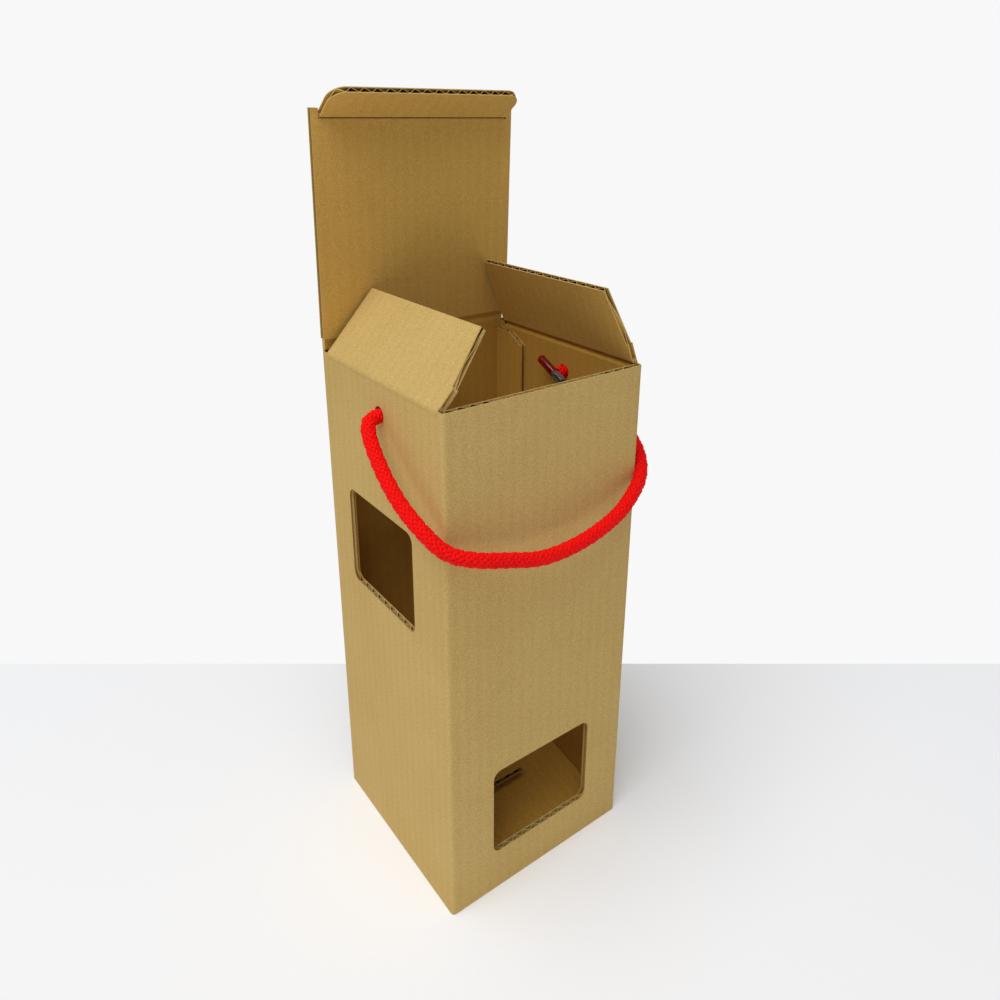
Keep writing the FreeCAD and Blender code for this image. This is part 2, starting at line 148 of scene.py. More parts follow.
class Surface(NodeSheet):
    """The node tree of one material, with a Principled shader and an output."""

    def __init__(self, name: str, roughness: float, specular: float = 0.5) -> None:
        """Makes the material.

        Args:
            name: the material's name.
            roughness: its roughness before any wear.
            specular: its specular level.
        """
        self.material = bpy.data.materials.new(name)
        self.material.use_nodes = True
        super().__init__(self.material.node_tree)
        self.shader = self.tree.nodes["Principled BSDF"]
        self.set("Roughness", roughness)
        self.set("Specular IOR Level", specular)

    def set(self, socket: str, value: object) -> None:
        """Sets what is the same all over the surface."""
        self.shader.inputs[socket].default_value = value

    def place(self) -> Wire:
        """The point on the object, in millimetres."""
        here = self.node("ShaderNodeTexCoord", {}, {}, "Object")
        return self.node("ShaderNodeMapping", {}, {"Vector": here, "Scale": (1 / MM,) * 3})

    def along(self, place: Wire, axis: str) -> Wire:
        """The X, Y or Z coordinate of a point."""
        return self.node("ShaderNodeSeparateXYZ", {}, {"Vector": place}, axis)

    def noise(self, place: Wire, scale: float, detail: float = 2.0, stretch: Sequence[float] = ()) -> Wire:
        """Noise around 0.5.

        Args:
            place: the point.
            scale: cells in each millimetre.
            detail: octaves.
            stretch: factors on the point's coordinates, if any.

        Returns:
            The noise.
        """
        if stretch:
            place = self.node("ShaderNodeMapping", {}, {"Vector": place, "Scale": tuple(stretch)})
        return self.node("ShaderNodeTexNoise", {}, {"Vector": place, "Scale": scale, "Detail": detail})

    def blend(self, factor: Wire, first: Wire | Triple, second: Wire | Triple) -> Wire:
        """Mixes two colours, from the first at 0 to the second at 1."""
        one, two = (value if isinstance(value, Wire) else (*value, 1.0) for value in (first, second))
        return self.node("ShaderNodeMix", {"data_type": "RGBA"}, {0: factor, 6: one, 7: two}, 2)

    def wear(self, colour: Wire, roughness: Wire, relief: Wire, depth: float) -> None:
        """Links what varies over the surface to the shader.

        Args:
            colour: base colour.
            roughness: roughness.
            relief: height for a bump.
            depth: the relief's height in millimetres.
        """
        bump = self.node("ShaderNodeBump", {}, {"Strength": 1.0, "Distance": depth * MM, "Height": relief})
        for socket, wire in (("Base Color", colour), ("Roughness", roughness), ("Normal", bump)):
            self.tree.links.new(wire.socket, self.shader.inputs[socket])


# Finishes


class Stripes(Enum):
    """The direction across which the flutes show through the liner."""

    X = "X"
    Y = "Y"


def linear(red: float, green: float, blue: float) -> Triple:
    """The linear colour of display values from 0 to 255."""
    parts = (value / 255.0 for value in (red, green, blue))
    return tuple(p / 12.92 if p <= 0.04045 else ((p + 0.055) / 1.055) ** 2.4 for p in parts)


@dataclass(frozen=True)
class KraftLiner:
    """Unbleached liner paper, with fibres, specks and the flutes showing through faintly."""

    name: str
    stripes: Stripes
    light: Triple = linear(214, 183, 117)
    dark: Triple = linear(189, 156, 86)
    speck: Triple = linear(104, 76, 40)
    pitch: float = 5.9
    cloud_share: float = 0.35
    grain_share: float = 1.7
    fibre_share: float = 0.9
    ripple_share: float = 0.04
    speck_share: float = 0.3

    def make(self) -> bpy.types.Material:
        """Makes the material.

        Returns:
            The material.
        """
        sheet = Surface(self.name, 0.88, 0.25)
        place = sheet.place()
        cloud = sheet.noise(place, 0.03)
        grain = sheet.noise(place, 1.7, 3.0)
        fibre = sheet.noise(place, 0.9, 4.0, (1.0, 1.0, 3.0))
        ripple = (sheet.along(place, self.stripes.value) * (2.0 * math.pi / self.pitch)).wave()
        tone = (cloud - 0.5) * self.cloud_share + (grain - 0.5) * self.grain_share
        tone = tone + (fibre - 0.5) * self.fibre_share + ripple * self.ripple_share + 0.5
        paper = sheet.blend(tone.step(0.0, 1.0), self.dark, self.light)
        specks = sheet.noise(place, 0.42, 1.0).step(0.77, 0.82) * self.speck_share
        sheet.wear(
            colour=sheet.blend(specks, paper, self.speck),
            roughness=0.82 + grain * 0.12,
            relief=grain * 0.4 + fibre * 0.3 + ripple * 0.15,
            depth=0.12,
        )
        return sheet.material


@dataclass(frozen=True)
class CutPaper:
    """The fluting between the liners, a rougher and browner paper; its dark copy on the wave's faces is
    painted shade in the hollows between the flutes.
    """

    name: str
    light: Triple
    dark: Triple

    def make(self) -> bpy.types.Material:
        """Makes the material.

        Returns:
            The material.
        """
        sheet = Surface(self.name, 0.95, 0.15)
        tufts = sheet.noise(sheet.place(), 1.6, 3.0)
        sheet.wear(
            colour=sheet.blend(tufts.step(0.3, 0.7), self.dark, self.light),
            roughness=0.86 + tufts * 0.12,
            relief=tufts,
            depth=0.3,
        )
        return sheet.material


@dataclass(frozen=True)
class BraidYarn:
    """Bright synthetic yarn, darker where it dives under its neighbours, which is painted shade."""

    name: str = "rope_yarn"
    crown: Triple = (0.93, 0.003, 0.002)
    valley_shade: Triple = (0.42, 0.001, 0.001)

    def make(self) -> bpy.types.Material:
        """Makes the material.

        Returns:
            The material.
        """
        sheet = Surface(self.name, 0.5, 0.12)
        rise = sheet.node("ShaderNodeAttribute", {"attribute_name": "rise"}, {}, "Fac")
        hairs = sheet.noise(sheet.place(), 5.0)
        # The rise attribute darkens the valleys between the yarns towards the valley colour: painted shade.
        height = (rise + (hairs - 0.5) * 0.15).step(0.08, 0.72)
        sheet.wear(
            colour=sheet.blend(height, self.valley_shade, self.crown),
            roughness=0.5 + hairs * 0.2,
            relief=hairs,
            depth=0.05,
        )
        return sheet.material


@dataclass(frozen=True)
class MouldedPlastic:
    """Smooth moulded plastic with a few faint scratches."""

    name: str
    colour: Triple
    shade: Triple
    see_through: float

    def make(self) -> bpy.types.Material:
        """Makes the material.

        Returns:
            The material.
        """
        sheet = Surface(self.name, 0.2)
        sheet.set("Transmission Weight", self.see_through)
        place = sheet.place()
        flow = sheet.noise(place, 0.5)
        marks = sheet.noise(place, 2.5, 3.0, (1.0, 0.2, 1.0))
        sheet.wear(
            colour=sheet.blend(flow.step(0.3, 0.7), self.colour, self.shade),
            roughness=0.14 + marks * 0.2,
            relief=marks,
            depth=0.03,
        )
        return sheet.material


def papers(side: str, *colours: Triple) -> dict[Stripes, bpy.types.Material]:
    """A liner's materials, one for each direction of its flutes."""
    return {way: KraftLiner(f"kraft_{side}_{way.value.lower()}", way, *colours).make() for way in Stripes}


class Finishes:
    """The materials, each made once."""

    def __init__(self) -> None:
        """Makes them all."""
        self.outer = papers("outside")
        self.inner = papers("inside", linear(218, 174, 90), linear(192, 148, 68))
        # The shade copy is the inner liner made darker for the box's own inside faces: painted shade inside
        # the box.
        self.inside = papers("shade", linear(196, 150, 64), linear(170, 124, 46))
        # The fluting copy is dark as painted shade in the hollows between the flutes; the cut_edge copy is
        # the wavy paper's own lighter colour.
        self.fluting = CutPaper("fluting", linear(90, 62, 30), linear(50, 32, 13)).make()
        self.cut = CutPaper("cut_edge", linear(205, 168, 104), linear(160, 122, 68)).make()
        self.yarn = BraidYarn().make()
        self.red = MouldedPlastic("bar_red", linear(150, 18, 20), linear(110, 8, 12), 0.3).make()
        self.clear = MouldedPlastic("bar_clear", linear(150, 140, 132), linear(118, 106, 98), 0.6).make()


# Modelling by operators


class Bench:
    """Modelling steps. Each one starts with nothing selected."""

    @staticmethod
    def clear() -> None:
        """Leaves edit mode and deselects everything."""
        if bpy.context.object and bpy.context.object.mode != "OBJECT":
            bpy.ops.object.mode_set(mode="OBJECT")
        bpy.ops.object.select_all(action="DESELECT")

    @classmethod
    def only(cls, thing: bpy.types.Object) -> None:
        """Selects one object and makes it active.

        Args:
            thing: the object.
        """
        cls.clear()
        bpy.context.view_layer.objects.active = thing
        thing.select_set(True)

    @classmethod
    def seat(cls, thing: bpy.types.Object, matrix: Matrix) -> bpy.types.Object:
        """Puts an object in its place, with the place in its mesh and the object at the origin.

        Args:
            thing: the object.
            matrix: its place.

        Returns:
            The object.
        """
        cls.only(thing)
        thing.matrix_world = matrix
        bpy.ops.object.transform_apply(location=True, rotation=True, scale=True)
        return thing

    @classmethod
    def block(cls, name: str, low: Sequence[float], high: Sequence[float]) -> bpy.types.Object:
        """A box between two corners.

        Args:
            name: the object's name.
            low: lowest corner.
            high: highest corner.

        Returns:
            The box.
        """
        cls.clear()
        low, high = Vector(low), Vector(high)
        bpy.ops.mesh.primitive_cube_add(size=1.0, location=(low + high) / 2, scale=high - low)
        made = bpy.context.object
        made.name = name
        bpy.ops.object.transform_apply(location=True, rotation=True, scale=True)
        return made

    @classmethod
    def notch(cls, left: float, right: float, low: float, high: float) -> bpy.types.Object:
        """A cutter through a sheet that is drawn flat."""
        return cls.block("cutter", (left, -OUT, low), (right, IN, high))

    @classmethod
    def net(
        cls, name: str, width: float, low: float, high: float, columns: int, rows: int,
    ) -> bpy.types.Object:
        """A flat net in the XZ plane, centred across.

        Args:
            name: the object's name.
            width: its width along X.
            low: its lower edge.
            high: its upper edge.
            columns: faces across.
            rows: faces up.

        Returns:
            The net.
        """
        cls.clear()
        bpy.ops.mesh.primitive_grid_add(
            x_subdivisions=columns, y_subdivisions=rows, size=1.0,
            location=(0.0, 0.0, (low + high) / 2), rotation=(math.pi / 2, 0.0, 0.0),
        )
        made = bpy.context.object
        made.name = name
        made.scale = (width, high - low, 1.0)
        bpy.ops.object.transform_apply(location=True, rotation=True, scale=True)
        return made

    @classmethod
    def choose(cls, thing: bpy.types.Object, kind: str, wanted: Sequence[bool]) -> None:
        """Opens edit mode with only the wanted corners, edges or faces selected.

        Args:
            thing: the object.
            kind: VERT, EDGE or FACE.
            wanted: for each in turn, whether it is wanted.
        """
        cls.only(thing)
        bpy.ops.object.mode_set(mode="EDIT")
        bpy.ops.mesh.select_mode(type=kind)
        bpy.ops.mesh.select_all(action="DESELECT")
        bpy.ops.object.mode_set(mode="OBJECT")
        mesh = thing.data
        items = {"VERT": mesh.vertices, "EDGE": mesh.edges, "FACE": mesh.polygons}[kind]
        for item, flag in zip(items, wanted):
            item.select = flag
        bpy.ops.object.mode_set(mode="EDIT")

    @classmethod
    def pick(cls, thing: bpy.types.Object, wanted: Callable[[Vector], bool], kind: str = "VERT") -> None:
        """Opens edit mode with the wanted corners, or the edges or faces with a wanted middle, selected.

        Args:
            thing: the object.
            wanted: tells whether a place is wanted.
            kind: VERT, EDGE or FACE.
        """
        cls.only(thing)
        mesh = thing.data
        if kind == "FACE":
            places = [face.center for face in mesh.polygons]
        else:
            places = [vertex.co for vertex in mesh.vertices]
            if kind == "EDGE":
                places = [(places[a] + places[b]) / 2 for a, b in (edge.vertices for edge in mesh.edges)]
        cls.choose(thing, kind, [bool(wanted(place)) for place in places])

    @classmethod
    def modify(cls, thing: bpy.types.Object, kind: str, **settings: object) -> None:
        """Adds a modifier and applies it.

        Args:
            thing: the object.
            kind: the modifier's type.
            settings: its settings.
        """
        cls.only(thing)
        modifier = thing.modifiers.new(kind.lower(), kind)
        for key, value in settings.items():
            setattr(modifier, key, value)
        bpy.ops.object.modifier_apply(modifier=modifier.name)

    @classmethod
    def join(cls, things: Sequence[bpy.types.Object], name: str) -> bpy.types.Object:
        """Joins objects into the first.

        Args:
            things: the objects.
            name: the joined object's name.

        Returns:
            The joined object.
        """
        cls.only(things[0])
        for thing in things[1:]:
            thing.select_set(True)
        bpy.ops.object.join()
        things[0].name = name
        return things[0]

    @classmethod
    def cut(cls, thing: bpy.types.Object, cutters: Sequence[bpy.types.Object]) -> None:
        """Cuts objects away and deletes them.

        Args:
            thing: the object that is cut.
            cutters: closed objects.
        """
        for cutter in cutters:
            cls.modify(thing, "BOOLEAN", object=cutter, operation="DIFFERENCE", solver="EXACT")
            bpy.data.objects.remove(cutter, do_unlink=True)

    @classmethod
    def round_edges(cls, thing: bpy.types.Object, axis: int, radius: float, segments: int) -> None:
        """Rounds a box's edges that run along one axis.

        Args:
            thing: the box.
            axis: 0, 1 or 2.
            radius: the radius.
            segments: faces in each round.
        """
        middle = sum((vertex.co for vertex in thing.data.vertices), Vector()) / len(thing.data.vertices)
        cls.pick(thing, lambda place: abs(place[axis] - middle[axis]) < 1e-4 and all(
            abs(place[k] - middle[k]) > 1e-3 for k in range(3) if k != axis), "EDGE")
        bpy.ops.mesh.bevel(offset=radius, segments=segments, affect="EDGES")
        bpy.ops.object.mode_set(mode="OBJECT")

    @classmethod
    def settle(
        cls, thing: bpy.types.Object, origin: Sequence[float] = (0, 0, 0),
        inward: Vector = Vector((0, 1, 0)), along: Vector = UP,
    ) -> bpy.types.Object:
        """Puts a piece drawn flat in its place, in metres.

        Args:
            thing: the piece, drawn with its outer face at Y 0 and its flutes along Z.
            origin: where its own origin goes, in millimetres.
            inward: where its Y axis goes.
            along: where its Z axis goes.

        Returns:
            The piece.
        """
        turn = Matrix((inward.cross(along), inward, along)).transposed().to_4x4()
        return cls.seat(thing, Matrix.Translation(Vector(origin) * MM) @ turn @ Matrix.Scale(MM, 4))

    @classmethod
    def dress(cls, thing: bpy.types.Object, *materials: bpy.types.Material) -> None:
        """Gives a piece its materials.

        Args:
            thing: the piece.
            materials: its materials, the first for all faces.
        """
        thing.data.materials.clear()
        for material in materials:
            thing.data.materials.append(material)
        for face in thing.data.polygons:
            face.material_index = 0

    @classmethod
    def smooth(cls, thing: bpy.types.Object, degrees: float = 35.0) -> None:
        """Shades a piece smooth up to an angle."""
        cls.only(thing)
        bpy.ops.object.shade_smooth_by_angle(angle=math.radians(degrees))


# Board


@dataclass(frozen=True)
class Board:
    """Fluted board: two liners and a wavy paper between them. It is drawn with its outer face at Y 0."""

    thick: float = 3.0
    liner: float = 0.42
    medium: float = 0.32
    pitch: float = 6.0
    play: float = 0.01
    inset: float = 0.05
    columns: int = 12

    def fluting(self, name: str, left: float, right: float, low: float, high: float) -> bpy.types.Object:
        """The wavy paper, closed, with its corners marked as wave.

        Args:
            name: the object's name.
            left: its left end.
            right: its right end.
            low: its lower edge.
            high: its upper edge.

        Returns:
            The wavy paper.
        """
        count = max(1, round((right - left) / self.pitch))
        pitch = (right - left) / count
        wave = Bench.net(name, pitch, low, high, self.columns, 1)
        swing = self.thick / 2 - self.liner - self.medium / 2 - self.play
        for k in range(self.columns + 1):
            x = (k / self.columns - 0.5) * pitch
            Bench.pick(wave, lambda place, x=x: abs(place.x - x) < 1e-4)
            shift = self.thick / 2 + swing * math.cos(2.0 * math.pi * k / self.columns)
            bpy.ops.transform.translate(value=(left + pitch / 2, shift, 0.0))
        Bench.modify(
            wave, "ARRAY", count=count, use_relative_offset=False, use_constant_offset=True,
            constant_offset_displace=(pitch, 0.0, 0.0), use_merge_vertices=True, merge_threshold=1e-3,
        )
        Bench.modify(wave, "SOLIDIFY", thickness=self.medium, offset=0.0)
        marks = wave.data.attributes.new("wave", "FLOAT", "POINT")
        marks.data.foreach_set("value", [1.0] * len(wave.data.vertices))
        return wave

    def sheet(self, name: str, left: float, right: float, low: float, high: float) -> bpy.types.Object:
        """A rectangle of board.

        Args:
            name: the object's name.
            left: its left end.
            right: its right end.
            low: its lower edge.
            high: its upper edge.

        Returns:
            The board, three closed shells in one object.
        """
        parts = [
            Bench.block("liner", (left, near, low), (right, far, high))
            for near, far in ((0.0, self.liner), (self.thick - self.liner, self.thick))
        ]
        ends = (left + self.inset, right - self.inset, low + self.inset, high - self.inset)
        return Bench.join(parts + [self.fluting("wave", *ends)], name)


@dataclass(frozen=True)
class Fold:
    """A crease. The board turns about the line of its outer face, over a short crushed strip."""

    name: str
    width: float
    middle: float
    degrees: float
    reach: float = 2.6
    crushed: float = 1.7
    rows: int = 12
    column: float = 3.0

    def share(self, height: float) -> float:
        """The share of the turn at a height across the crease, from 0 to 1."""
        t = (height / self.reach + 1.0) / 2.0
        return t * t * (3.0 - 2.0 * t)

    def build(self, board: Board) -> bpy.types.Object:
        """Makes the strip, drawn with its lower part upright.

        Args:
            board: the board that is folded.

        Returns:
            The strip.
        """
        columns = max(2, int(self.width / self.column))
        strip = Bench.net(self.name, self.width, -self.reach, self.reach, columns, self.rows)
        Bench.modify(strip, "SOLIDIFY", thickness=board.thick, offset=-1.0)
        heights = [(2.0 * k / self.rows - 1.0) * self.reach for k in range(self.rows + 1)]
        for height in heights:
            crush = (board.thick - self.crushed) * math.cos(height / self.reach * math.pi / 2) ** 2
            Bench.pick(strip, lambda p, h=height: abs(p.z - h) < 1e-4 and p.y > board.thick / 2)
            bpy.ops.transform.translate(value=(0.0, -crush, 0.0))
        Bench.clear()
        rows = [[abs(vertex.co.z - height) < 1e-4 for vertex in strip.data.vertices] for height in heights]
        for height, row in zip(heights, rows):
            Bench.choose(strip, "VERT", row)
            angle = self.share(height) * math.radians(self.degrees)
            bpy.ops.transform.rotate(value=angle, orient_axis="X", center_override=(0.0, 0.0, 0.0))
        Bench.clear()
        return Bench.seat(strip, Matrix.Translation((self.middle, 0.0, 0.0)))


@dataclass
class Carton:
    """The folded box: walls, windows, glue tab, bottom, lid, tuck flap and dust flaps."""

    finishes: Finishes
    board: Board = field(default_factory=Board)
    width: float = 106.0
    depth: float = 105.0
    height: float = 256.0
    corner_round: float = 1.8
    inner_round: float = 0.8
    wave_gap: float = 0.3
    top_gap: float = 0.2
    floor_gap: float = 0.5
    dust_notch: float = 6.0
    front_window: tuple[float, float, float, float] = (-29.0, 29.8, 22.8, 72.2)
    side_window: tuple[float, float, float, float] = (-26.3, 31.8, 143.4, 193.2)
    window_round: float = 4.5
    rope_hole_radius: float = 3.75
    tab_ends: tuple[float, float] = (28.0, 49.3)
    tab_heights: tuple[float, float] = (3.4, 252.6)
    tab_bend: float = 39.0
    tab_taper: tuple[float, float] = (6.0, 11.0)
    front_slope: float = 0.17
    front_reach: float = 72.5
    slot_half: float = 21.0
    slot_reach: float = 50.5
    back_slope: float = 0.213
    tongue_reach: float = 65.5
    tongue_half: float = 20.0
    shoulder_reach: float = 39.0
    side_reach: float = 33.0
    side_inset: float = 17.0
    side_taper: float = 19.0
    floor_foot: float = 0.6
    lid_crease: float = 259.3
    lid_length: float = 101.7
    lid_shoulder: float = 2.5
    lid_angle: float = 2.0
    lid_notches: tuple[float, float] = (0.6, 2.6)
    lid_crushed: float = 2.7
    tuck_angle: float = 52.7
    tuck_half: float = 49.1
    tuck_gap: float = 0.5
    tuck_length: float = 18.6
    tuck_round: float = 7.3
    tuck_crease: float = 2.0
    tuck_crushed: float = 1.1
    left_angle: float = 42.0
    right_angle: float = 22.0
    dust_length: float = 37.3
    dust_back: float = 46.5
    dust_front: float = -49.2
    dust_foot: tuple[float, float] = (48.3, 11.0)
    dust_tip: float = 42.5
    crease: float = 2.6

    def build(self) -> None:
        """Builds the whole carton."""
        self.shell()
        self.glue_tab()
        self.sloping_floors()
        self.side_floors()
        self.lid()
        self.tuck()
        self.dust_flap("left", -1.0, self.left_angle)
        self.dust_flap("right", 1.0, self.right_angle)
        self.creases()

    def finish(
        self, thing: bpy.types.Object, body: str, stripes: Stripes, inward: Vector, along: Vector, node: str,
    ) -> None:
        """Dresses a settled board piece and lets it ride.

        Args:
            thing: the piece.
            body: the body that it rides on.
            stripes: the direction across its flutes.
            inward: the direction that its inner liner faces.
            along: the direction of its flutes.
            node: the node that it stands for.
        """
        # Inside faces of the box's pieces take the darker shade copy of the inner liner, which is painted
        # shade; the lid and flaps take the inner liner.
        within = self.finishes.inside if body == "box" else self.finishes.inner
        outer = self.finishes.outer[stripes]
        Bench.dress(thing, outer, self.finishes.fluting, within[stripes], self.finishes.cut)
        marks = [item.value for item in thing.data.attributes["wave"].data]
        for face in thing.data.polygons:
            if all(marks[k] > 0.5 for k in face.vertices):
                # Wave faces along the flutes are cut ends and take the light cut_edge copy; the rest of the
                # wave takes the dark fluting copy, painted shade in the hollows.
                face.material_index = 3 if abs(face.normal.dot(along)) > 0.7 else 1
            elif face.normal.dot(inward) > 0.5:
                face.material_index = 2
        Bench.smooth(thing)
        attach(thing, body)
        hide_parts(node)
        LOG.info("%s: %d faces", thing.name, len(thing.data.polygons))

    def shell(self) -> None:
        """The four walls: two folded liners and four runs of fluting, cut for windows and rope holes."""
        half_x, half_y = self.width / 2, self.depth / 2
        shrink = self.board.thick - self.board.liner
        parts = [
            self.ring("shell_outer", half_x, half_y, self.corner_round),
            self.ring("shell_inner", half_x - shrink, half_y - shrink, self.inner_round),
        ]
        for name, inward, reach, end in (
            ("front", Vector((0, 1, 0)), half_y, half_x), ("back", Vector((0, -1, 0)), half_y, half_x),
            ("left", Vector((1, 0, 0)), half_x, half_y), ("right", Vector((-1, 0, 0)), half_x, half_y),
        ):
            span = end - self.board.thick - self.wave_gap
            top = self.lid_crease - self.crease if name == "back" else self.height
            wave = self.board.fluting("wave_" + name, -span, span, 0.0, top)
            turn = Matrix((inward.cross(UP), inward, UP)).transposed().to_4x4()
            parts.append(Bench.seat(wave, Matrix.Translation(-inward * reach) @ turn))
        shell = Bench.join(parts, "box_shell")
        Bench.cut(shell, self.shell_cutters())
        Bench.settle(shell)
        self.finish(shell, "box", Stripes.X, -UP, UP, "box_body")
        shell.data.materials.append(self.finishes.outer[Stripes.Y])
        # Inside faces of the walls take the darker shade copy of the inner liner: painted shade inside the
        # box.
        shell.data.materials.append(self.finishes.inside[Stripes.Y])
        for face in shell.data.polygons:
            if face.material_index in (1, 3):
                continue
            inside = face.normal.x * face.center.x + face.normal.y * face.center.y < 0.0
            sideways = abs(face.normal.x) > 0.7
            face.material_index = (5 if sideways else 2) if inside else (4 if sideways else 0)

    def ring(self, name: str, half_x: float, half_y: float, radius: float) -> bpy.types.Object:
        """One liner folded round the four walls.

        Args:
            name: the object's name.
            half_x: half its outer width.
            half_y: half its outer depth.
            radius: the corners' outer radius.

        Returns:
            The liner, closed.
        """
        top = self.lid_crease - self.crease
        ring = Bench.block(name, (-half_x, -half_y, 0.0), (half_x, half_y, top))
        Bench.round_edges(ring, 2, radius, 5)
        Bench.pick(ring, lambda p: p.z < 1e-3 or p.z > top - 1e-3, "FACE")
        bpy.ops.mesh.delete(type="FACE")
        Bench.modify(ring, "SOLIDIFY", thickness=self.board.liner, offset=-1.0)
        return ring

    def shell_cutters(self) -> list[bpy.types.Object]:
        """Cutters for the windows, the rope holes and the walls' top edges.

        Returns:
            The cutters.
        """
        half_x, half_y = self.width / 2, self.depth / 2
        left, right, low, high = self.front_window
        front = Bench.block("cutter", (left, -half_y - OUT, low), (right, -half_y + OUT, high))
        Bench.round_edges(front, 1, self.window_round, 6)
        left, right, low, high = self.side_window
        side = Bench.block("cutter", (-half_x - OUT, left, low), (-half_x + OUT, right, high))
        Bench.round_edges(side, 0, self.window_round, 6)
        Bench.clear()
        bpy.ops.mesh.primitive_cylinder_add(
            vertices=32, radius=self.rope_hole_radius, depth=self.width + 2 * OUT,
            location=(0.0, *ROPE_HOLE), rotation=(0.0, math.pi / 2, 0.0),
        )
        cutters = [front, side, bpy.context.object]
        above = self.height + 20.0
        behind = self.depth / 2 - self.board.thick - self.top_gap
        relief = self.height - self.crease
        for low_x, low_y, low_z, high_x, high_y in (
            (-half_x - OUT, -half_y - OUT, self.height, half_x + OUT, behind),
            (-half_x - OUT, self.dust_front, relief, -half_x + self.dust_notch, self.dust_back),
            (half_x - self.dust_notch, self.dust_front, relief, half_x + OUT, self.dust_back),
        ):
            cutters.append(Bench.block("cutter", (low_x, low_y, low_z), (high_x, high_y, above)))
        return cutters

    def glue_tab(self) -> None:
        """The tab from the back wall, glued inside the right wall."""
        low, high = self.tab_heights
        tab = self.board.sheet("glue_tab", *self.tab_ends, low, high)
        cutters = []
        for sign, z, drop in ((1.0, high, 0.0), (-1.0, low, -20.0)):
            turn = Matrix.Rotation(-math.atan2(*self.tab_taper) * sign, 4, "Y")
            place = Matrix.Translation((self.tab_bend, 0.0, z)) @ turn @ Matrix.Translation((0.0, 0.0, drop))
            cutters.append(Bench.seat(Bench.notch(-20.0, 20.0, 0.0, 20.0), place))
        Bench.cut(tab, cutters)
        inward = Vector((-1, 0, 0))
        Bench.settle(tab, (self.width / 2 - self.board.thick, 0.0, 0.0), inward)
        self.finish(tab, "box", Stripes.Y, inward, UP, "box_body")

    def sloping_floors(self) -> None:
        """The front bottom flap with its slot, and the back one with its tongue."""
        wide = self.width / 2 - self.board.thick - self.floor_gap
        slot = [(-self.slot_half, self.slot_half, self.slot_reach)]
        tongue = [
            (-wide - OUT, -self.tongue_half, self.shoulder_reach),
            (self.tongue_half, wide + OUT, self.shoulder_reach),
        ]
        for name, sign, slope, reach, gaps in (
            ("front", -1.0, self.front_slope, self.front_reach, slot),
            ("back", 1.0, self.back_slope, self.tongue_reach, tongue),
        ):
            lean = math.atan(slope)
            along = Vector((0.0, -sign * math.cos(lean), math.sin(lean)))
            inward = Vector((0.0, sign * math.sin(lean), math.cos(lean)))
            length = reach / math.cos(lean)
            flap = self.board.sheet("floor_" + name, -wide, wide, self.floor_foot, length)
            Bench.cut(flap, [
                Bench.notch(left, right, start / math.cos(lean), length + OUT) for left, right, start in gaps
            ])
            Bench.settle(flap, (0.0, sign * self.depth / 2, 0.0), inward, along)
            self.finish(flap, "box", Stripes.X, inward, along, "box_body")

    def side_floors(self) -> None:
        """The two tapered side bottom flaps."""
        end = self.depth / 2 - self.side_inset
        slope = math.atan2(self.side_taper, self.side_reach)
        for name, sign in (("left", -1.0), ("right", 1.0)):
            flap = self.board.sheet("floor_" + name, -end, end, self.floor_foot, self.side_reach)
            cutters = []
            for way in (-1.0, 1.0):
                place = Matrix.Translation((way * end, 0.0, 0.0)) @ Matrix.Rotation(
                    -way * slope, 4, "Y") @ Matrix.Rotation(0.0 if way > 0 else math.pi, 4, "Z")
                cutters.append(Bench.seat(Bench.notch(0.0, 40.0, -60.0, 60.0), place))
            Bench.cut(flap, cutters)
            Bench.settle(flap, (sign * self.width / 2, 0.0, 0.0), UP, Vector((-sign, 0.0, 0.0)))
            self.finish(flap, "box", Stripes.Y, UP, Vector((1, 0, 0)), "box_body")

    def upright(self, degrees: float) -> tuple[Vector, Vector]:
        """The inward and the along direction of a panel on the back wall that leans forward."""
        turn = math.radians(degrees)
        return Vector((0, -math.cos(turn), -math.sin(turn))), Vector((0, -math.sin(turn), math.cos(turn)))

    def lid(self) -> None:
        """The lid, with a shoulder on each side of the tuck flap's crease."""
        half = self.width / 2
        top = self.lid_length + self.lid_shoulder
        lid = self.board.sheet("lid_panel", -half, half, self.crease, top)
        gap = self.tuck_half + self.tuck_gap
        Bench.cut(lid, [Bench.notch(-gap, gap, self.lid_length - self.tuck_crease, top + OUT)])
        inward, along = self.upright(self.lid_angle)
        Bench.settle(lid, self.lid_pivot(), inward, along)
        self.finish(lid, "lid", Stripes.X, inward, along, "lid")

    def lid_pivot(self) -> Vector:
        """The middle of the lid's crease."""
        return Vector((0.0, self.depth / 2, self.lid_crease))

    def tuck_pivot(self) -> Vector:
        """The middle of the tuck flap's crease."""
        return self.lid_pivot() + self.upright(self.lid_angle)[1] * self.lid_length

    def tuck(self) -> None:
        """The tuck flap with its rounded corners."""
        flap = self.board.sheet(
            "tuck_panel", -self.tuck_half, self.tuck_half, self.tuck_crease, self.tuck_length,
        )
        Bench.cut(flap, [self.corner_cutter(way) for way in (-1.0, 1.0)])
        inward, along = self.upright(self.lid_angle + self.tuck_angle)
        Bench.settle(flap, self.tuck_pivot(), inward, along)
        self.finish(flap, "tuck", Stripes.X, inward, along, "tuck_flap")

    def corner_cutter(self, way: float) -> bpy.types.Object:
        """What lies outside a rounded corner of the tuck flap.

        Args:
            way: 1 for the right corner, -1 for the left one.

        Returns:
            The cutter.
        """
        middle = way * self.tuck_half - way * self.tuck_round
        low = self.tuck_length - self.tuck_round
        ends = sorted((middle, way * self.tuck_half + way * OUT))
        block = Bench.notch(*ends, low, self.tuck_length + OUT)
        Bench.clear()
        bpy.ops.mesh.primitive_cylinder_add(
            vertices=48, radius=self.tuck_round, depth=40.0, location=(middle, 0.0, low),
            rotation=(math.pi / 2, 0.0, 0.0),
        )
        Bench.cut(block, [bpy.context.object])
        return block

